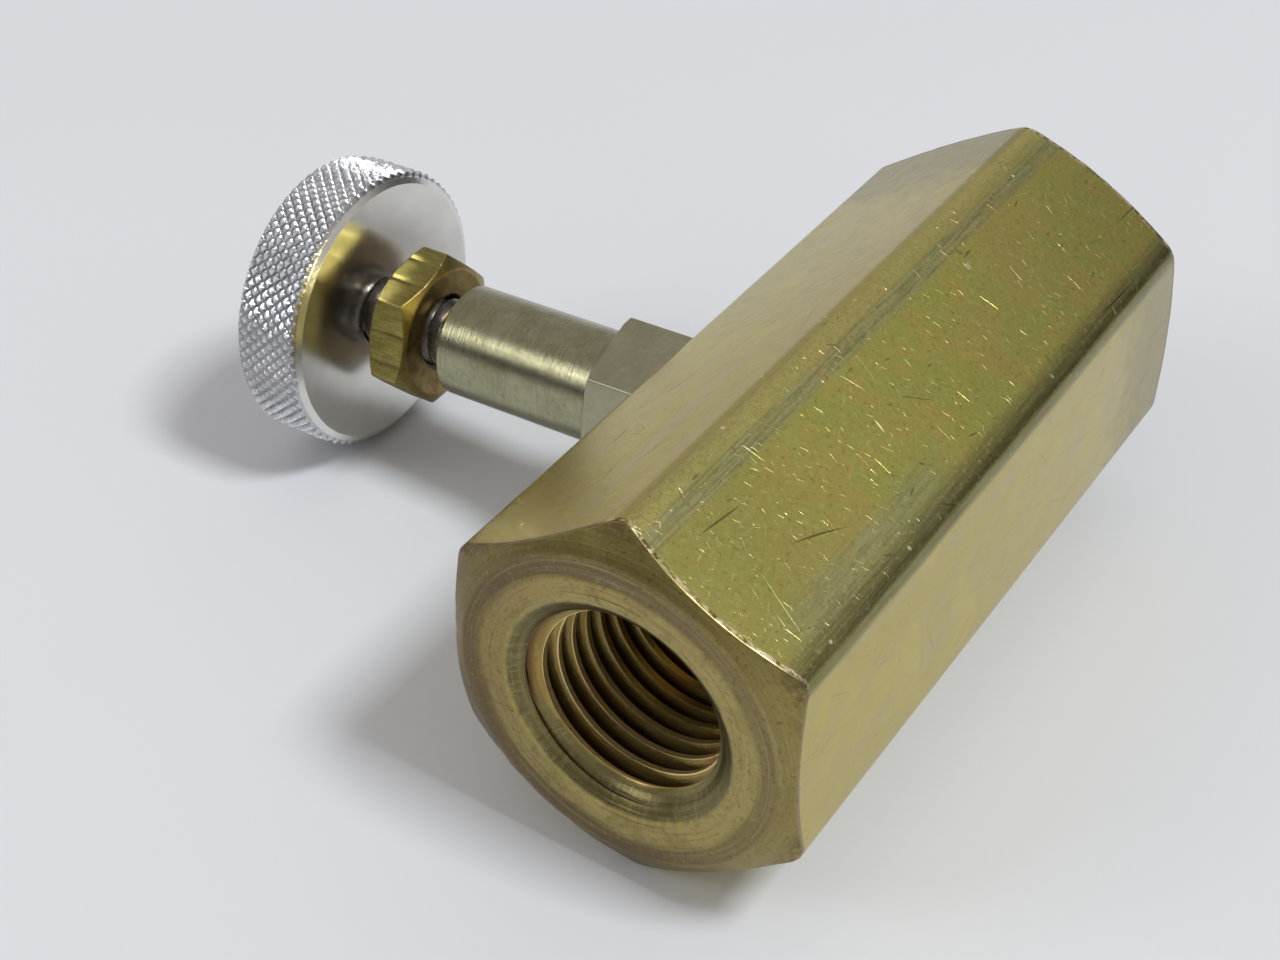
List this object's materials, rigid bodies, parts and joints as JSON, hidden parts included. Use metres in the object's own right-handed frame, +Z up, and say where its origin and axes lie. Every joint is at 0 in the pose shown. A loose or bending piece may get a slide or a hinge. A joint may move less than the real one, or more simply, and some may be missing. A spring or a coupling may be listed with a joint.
{
  "type": "needle valve",
  "caption": "Hexagonal brass needle valve with a threaded pipe port at each end, a side bonnet, a lock nut and a knurled round knob.",
  "frame": {"origin": "on the floor under the middle of the bounding box, with the valve lying on its bottom body edge and on its knob's rim", "axes": "+X along the body towards the outlet port, +Y roughly outwards along the stem, which slopes 3.6 degrees down to the knob, +Z up"},
  "size_m": [0.0524, 0.0536, 0.0252],
  "materials": {
    "body_brass": "drawn bar, tarnished, with fine scratches",
    "plated_steel": "turned and plated, satin",
    "seal_copper": "soft copper washer",
    "stem_steel": "turned, dark",
    "seal_rubber": "matte",
    "backup_plastic": "smooth fluoropolymer",
    "nut_brass": "machined, slightly tarnished",
    "knob_aluminium": "knurled rim, polished faces",
    "screw_steel": "black oxide"
  },
  "bodies": {
    "valve": {"valve_body": "body_brass", "bonnet": "plated_steel", "bonnet_seal": "seal_copper"},
    "seals": {"stem_o_ring": "seal_rubber", "backup_ring_lower": "backup_plastic", "backup_ring_upper": "backup_plastic"},
    "stem": {"needle_stem": "stem_steel", "knob": "knob_aluminium", "knob_set_screw": "screw_steel"},
    "nut": {"lock_nut": "nut_brass"}
  },
  "joints": [
    {"name": "stem_travel", "type": "slide", "parent": "valve", "child": "seals", "axis": [0, 0.998, -0.063], "range_m": [-0.00159, 0.00317]},
    {"name": "stem_turn", "type": "hinge", "parent": "seals", "child": "stem", "pos_m": [0, 0.01372, 0.01077], "axis": [0, 0.998, -0.063], "range_deg": [-720.1, 1440.1]},
    {"name": "nut_travel", "type": "slide", "parent": "stem", "child": "nut", "axis": [0, -0.998, 0.063], "range_m": [-0.0019, 0.0017]}
  ],
  "couplings": [
    {"joint": "stem_turn", "follows": "stem_travel", "rad_per_m": 7915.8}
  ]
}
